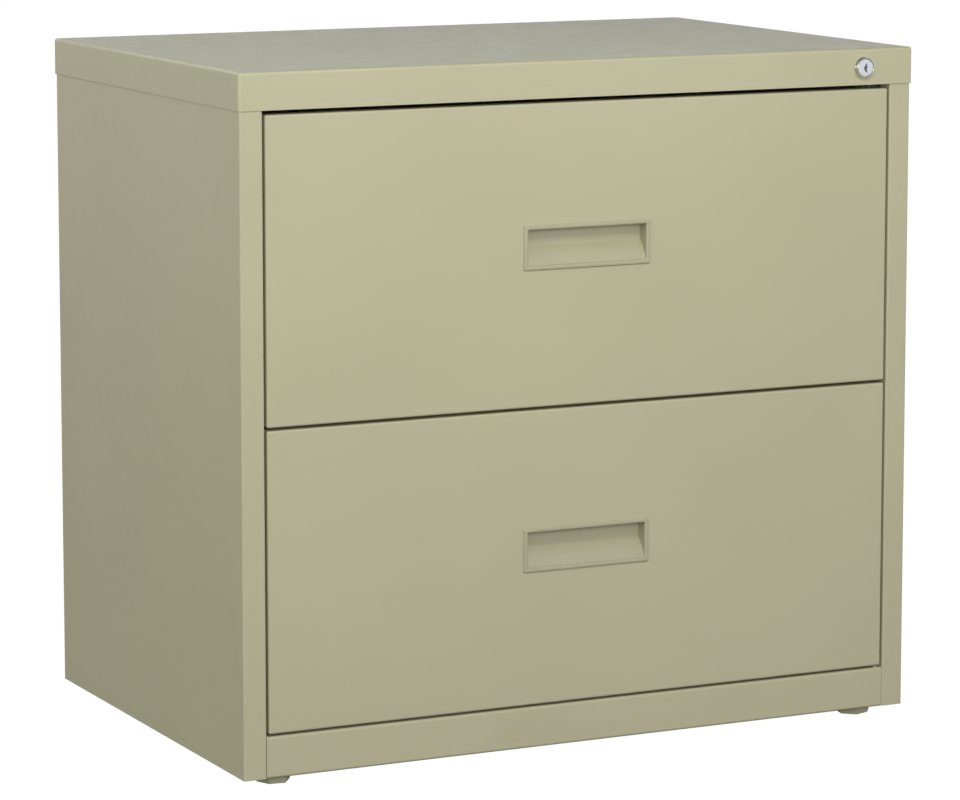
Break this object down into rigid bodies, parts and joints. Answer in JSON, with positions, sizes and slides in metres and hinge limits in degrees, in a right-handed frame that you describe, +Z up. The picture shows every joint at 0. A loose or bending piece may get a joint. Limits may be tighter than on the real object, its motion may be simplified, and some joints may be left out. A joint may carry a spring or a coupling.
{
  "type": "lateral filing cabinet",
  "caption": "Painted steel lateral filing cabinet with wide full-extension drawers, recessed pulls, a cam lock and hexagonal levelling feet.",
  "frame": {"origin": "on the floor, under the centre of the bounding box", "axes": "+X to the right seen from the front, -Y to the front where the drawers open, +Z up"},
  "size_m": [0.762, 0.513, 0.711],
  "materials": {
    "putty_enamel": "satin baked putty enamel on sheet steel",
    "handle_plastic": "satin moulded plastic in the enamel's colour",
    "zinc_steel": "bright zinc-plated roll-formed steel",
    "cage_steel": "thin yellow-passivated retainer strip with steel balls",
    "chrome": "polished chrome plating",
    "brushed_nickel": "fine satin nickel",
    "glide_plastic": "moulded plastic foot with a zinc-plated stem",
    "raw_steel": "mill-finish steel plate"
  },
  "bodies": {
    "cabinet": {"side_panel_left": "putty_enamel", "side_panel_right": "putty_enamel", "back_panel": "putty_enamel", "top_cover": "putty_enamel", "header_channel": "putty_enamel", "base_rail": "putty_enamel", "base_pan": "putty_enamel", "upright_front_left": "putty_enamel", "upright_front_right": "putty_enamel", "upright_rear_left": "putty_enamel", "upright_rear_right": "putty_enamel", "counterweight": "raw_steel", "glide_front_left": "glide_plastic", "glide_front_right": "glide_plastic", "glide_rear_left": "glide_plastic", "glide_rear_right": "glide_plastic", "lock_housing": "chrome", "lock_bar_guide_upper": "zinc_steel", "lock_bar_guide_lower": "zinc_steel", "upper_slide_left_outer": "zinc_steel", "upper_slide_right_outer": "zinc_steel", "lower_slide_left_outer": "zinc_steel", "lower_slide_right_outer": "zinc_steel"},
    "upper_slide_left_middle": {"upper_slide_left_middle": "zinc_steel"},
    "upper_slide_left_outer_cage": {"upper_slide_left_outer_cage": "cage_steel"},
    "upper_slide_left_inner_cage": {"upper_slide_left_inner_cage": "cage_steel"},
    "upper_slide_right_middle": {"upper_slide_right_middle": "zinc_steel"},
    "upper_slide_right_outer_cage": {"upper_slide_right_outer_cage": "cage_steel"},
    "upper_slide_right_inner_cage": {"upper_slide_right_inner_cage": "cage_steel"},
    "upper_drawer": {"upper_drawer_front": "putty_enamel", "upper_drawer_liner": "putty_enamel", "upper_handle": "handle_plastic", "upper_drawer_tray": "putty_enamel", "upper_drawer_back": "putty_enamel", "upper_hang_rail_front": "zinc_steel", "upper_hang_rail_rear": "zinc_steel", "upper_lock_catch": "zinc_steel", "upper_slide_left_inner": "zinc_steel", "upper_slide_right_inner": "zinc_steel"},
    "lower_slide_left_middle": {"lower_slide_left_middle": "zinc_steel"},
    "lower_slide_left_outer_cage": {"lower_slide_left_outer_cage": "cage_steel"},
    "lower_slide_left_inner_cage": {"lower_slide_left_inner_cage": "cage_steel"},
    "lower_slide_right_middle": {"lower_slide_right_middle": "zinc_steel"},
    "lower_slide_right_outer_cage": {"lower_slide_right_outer_cage": "cage_steel"},
    "lower_slide_right_inner_cage": {"lower_slide_right_inner_cage": "cage_steel"},
    "lower_drawer": {"lower_drawer_front": "putty_enamel", "lower_drawer_liner": "putty_enamel", "lower_handle": "handle_plastic", "lower_drawer_tray": "putty_enamel", "lower_drawer_back": "putty_enamel", "lower_hang_rail_front": "zinc_steel", "lower_hang_rail_rear": "zinc_steel", "lower_lock_catch": "zinc_steel", "lower_slide_left_inner": "zinc_steel", "lower_slide_right_inner": "zinc_steel"},
    "lock_plug": {"lock_plug": "brushed_nickel", "lock_cam": "zinc_steel"},
    "lock_bar": {"lock_bar": "zinc_steel"}
  },
  "joints": [
    {"name": "upper_drawer_slide", "type": "slide", "parent": "cabinet", "child": "upper_drawer", "axis": [0, -1, 0], "range_m": [0, 0.44]},
    {"name": "upper_slide_left_middle_travel", "type": "slide", "parent": "cabinet", "child": "upper_slide_left_middle", "axis": [0, -1, 0], "range_m": [0, 0.22]},
    {"name": "upper_slide_left_outer_cage_travel", "type": "slide", "parent": "cabinet", "child": "upper_slide_left_outer_cage", "axis": [0, -1, 0], "range_m": [0, 0.11]},
    {"name": "upper_slide_left_inner_cage_travel", "type": "slide", "parent": "cabinet", "child": "upper_slide_left_inner_cage", "axis": [0, -1, 0], "range_m": [0, 0.33]},
    {"name": "upper_slide_right_middle_travel", "type": "slide", "parent": "cabinet", "child": "upper_slide_right_middle", "axis": [0, -1, 0], "range_m": [0, 0.22]},
    {"name": "upper_slide_right_outer_cage_travel", "type": "slide", "parent": "cabinet", "child": "upper_slide_right_outer_cage", "axis": [0, -1, 0], "range_m": [0, 0.11]},
    {"name": "upper_slide_right_inner_cage_travel", "type": "slide", "parent": "cabinet", "child": "upper_slide_right_inner_cage", "axis": [0, -1, 0], "range_m": [0, 0.33]},
    {"name": "lower_drawer_slide", "type": "slide", "parent": "cabinet", "child": "lower_drawer", "axis": [0, -1, 0], "range_m": [0, 0.44]},
    {"name": "lower_slide_left_middle_travel", "type": "slide", "parent": "cabinet", "child": "lower_slide_left_middle", "axis": [0, -1, 0], "range_m": [0, 0.22]},
    {"name": "lower_slide_left_outer_cage_travel", "type": "slide", "parent": "cabinet", "child": "lower_slide_left_outer_cage", "axis": [0, -1, 0], "range_m": [0, 0.11]},
    {"name": "lower_slide_left_inner_cage_travel", "type": "slide", "parent": "cabinet", "child": "lower_slide_left_inner_cage", "axis": [0, -1, 0], "range_m": [0, 0.33]},
    {"name": "lower_slide_right_middle_travel", "type": "slide", "parent": "cabinet", "child": "lower_slide_right_middle", "axis": [0, -1, 0], "range_m": [0, 0.22]},
    {"name": "lower_slide_right_outer_cage_travel", "type": "slide", "parent": "cabinet", "child": "lower_slide_right_outer_cage", "axis": [0, -1, 0], "range_m": [0, 0.11]},
    {"name": "lower_slide_right_inner_cage_travel", "type": "slide", "parent": "cabinet", "child": "lower_slide_right_inner_cage", "axis": [0, -1, 0], "range_m": [0, 0.33]},
    {"name": "lock_plug_turn", "type": "hinge", "parent": "cabinet", "child": "lock_plug", "pos_m": [0.322, -0.2515, 0.6912], "axis": [0, 1, 0], "range_deg": [0, 90]},
    {"name": "lock_bar_lift", "type": "slide", "parent": "cabinet", "child": "lock_bar", "axis": [0, 0, -1], "range_m": [0, 0.01131]}
  ],
  "couplings": [
    {"joint": "upper_slide_left_middle_travel", "follows": "upper_drawer_slide", "ratio": 0.5},
    {"joint": "upper_slide_left_outer_cage_travel", "follows": "upper_drawer_slide", "ratio": 0.25},
    {"joint": "upper_slide_left_inner_cage_travel", "follows": "upper_drawer_slide", "ratio": 0.75},
    {"joint": "upper_slide_right_middle_travel", "follows": "upper_drawer_slide", "ratio": 0.5},
    {"joint": "upper_slide_right_outer_cage_travel", "follows": "upper_drawer_slide", "ratio": 0.25},
    {"joint": "upper_slide_right_inner_cage_travel", "follows": "upper_drawer_slide", "ratio": 0.75},
    {"joint": "lower_slide_left_middle_travel", "follows": "lower_drawer_slide", "ratio": 0.5},
    {"joint": "lower_slide_left_outer_cage_travel", "follows": "lower_drawer_slide", "ratio": 0.25},
    {"joint": "lower_slide_left_inner_cage_travel", "follows": "lower_drawer_slide", "ratio": 0.75},
    {"joint": "lower_slide_right_middle_travel", "follows": "lower_drawer_slide", "ratio": 0.5},
    {"joint": "lower_slide_right_outer_cage_travel", "follows": "lower_drawer_slide", "ratio": 0.25},
    {"joint": "lower_slide_right_inner_cage_travel", "follows": "lower_drawer_slide", "ratio": 0.75},
    {"joint": "lock_plug_turn", "follows": "lock_bar_lift", "rad_per_m": 138.88}
  ]
}
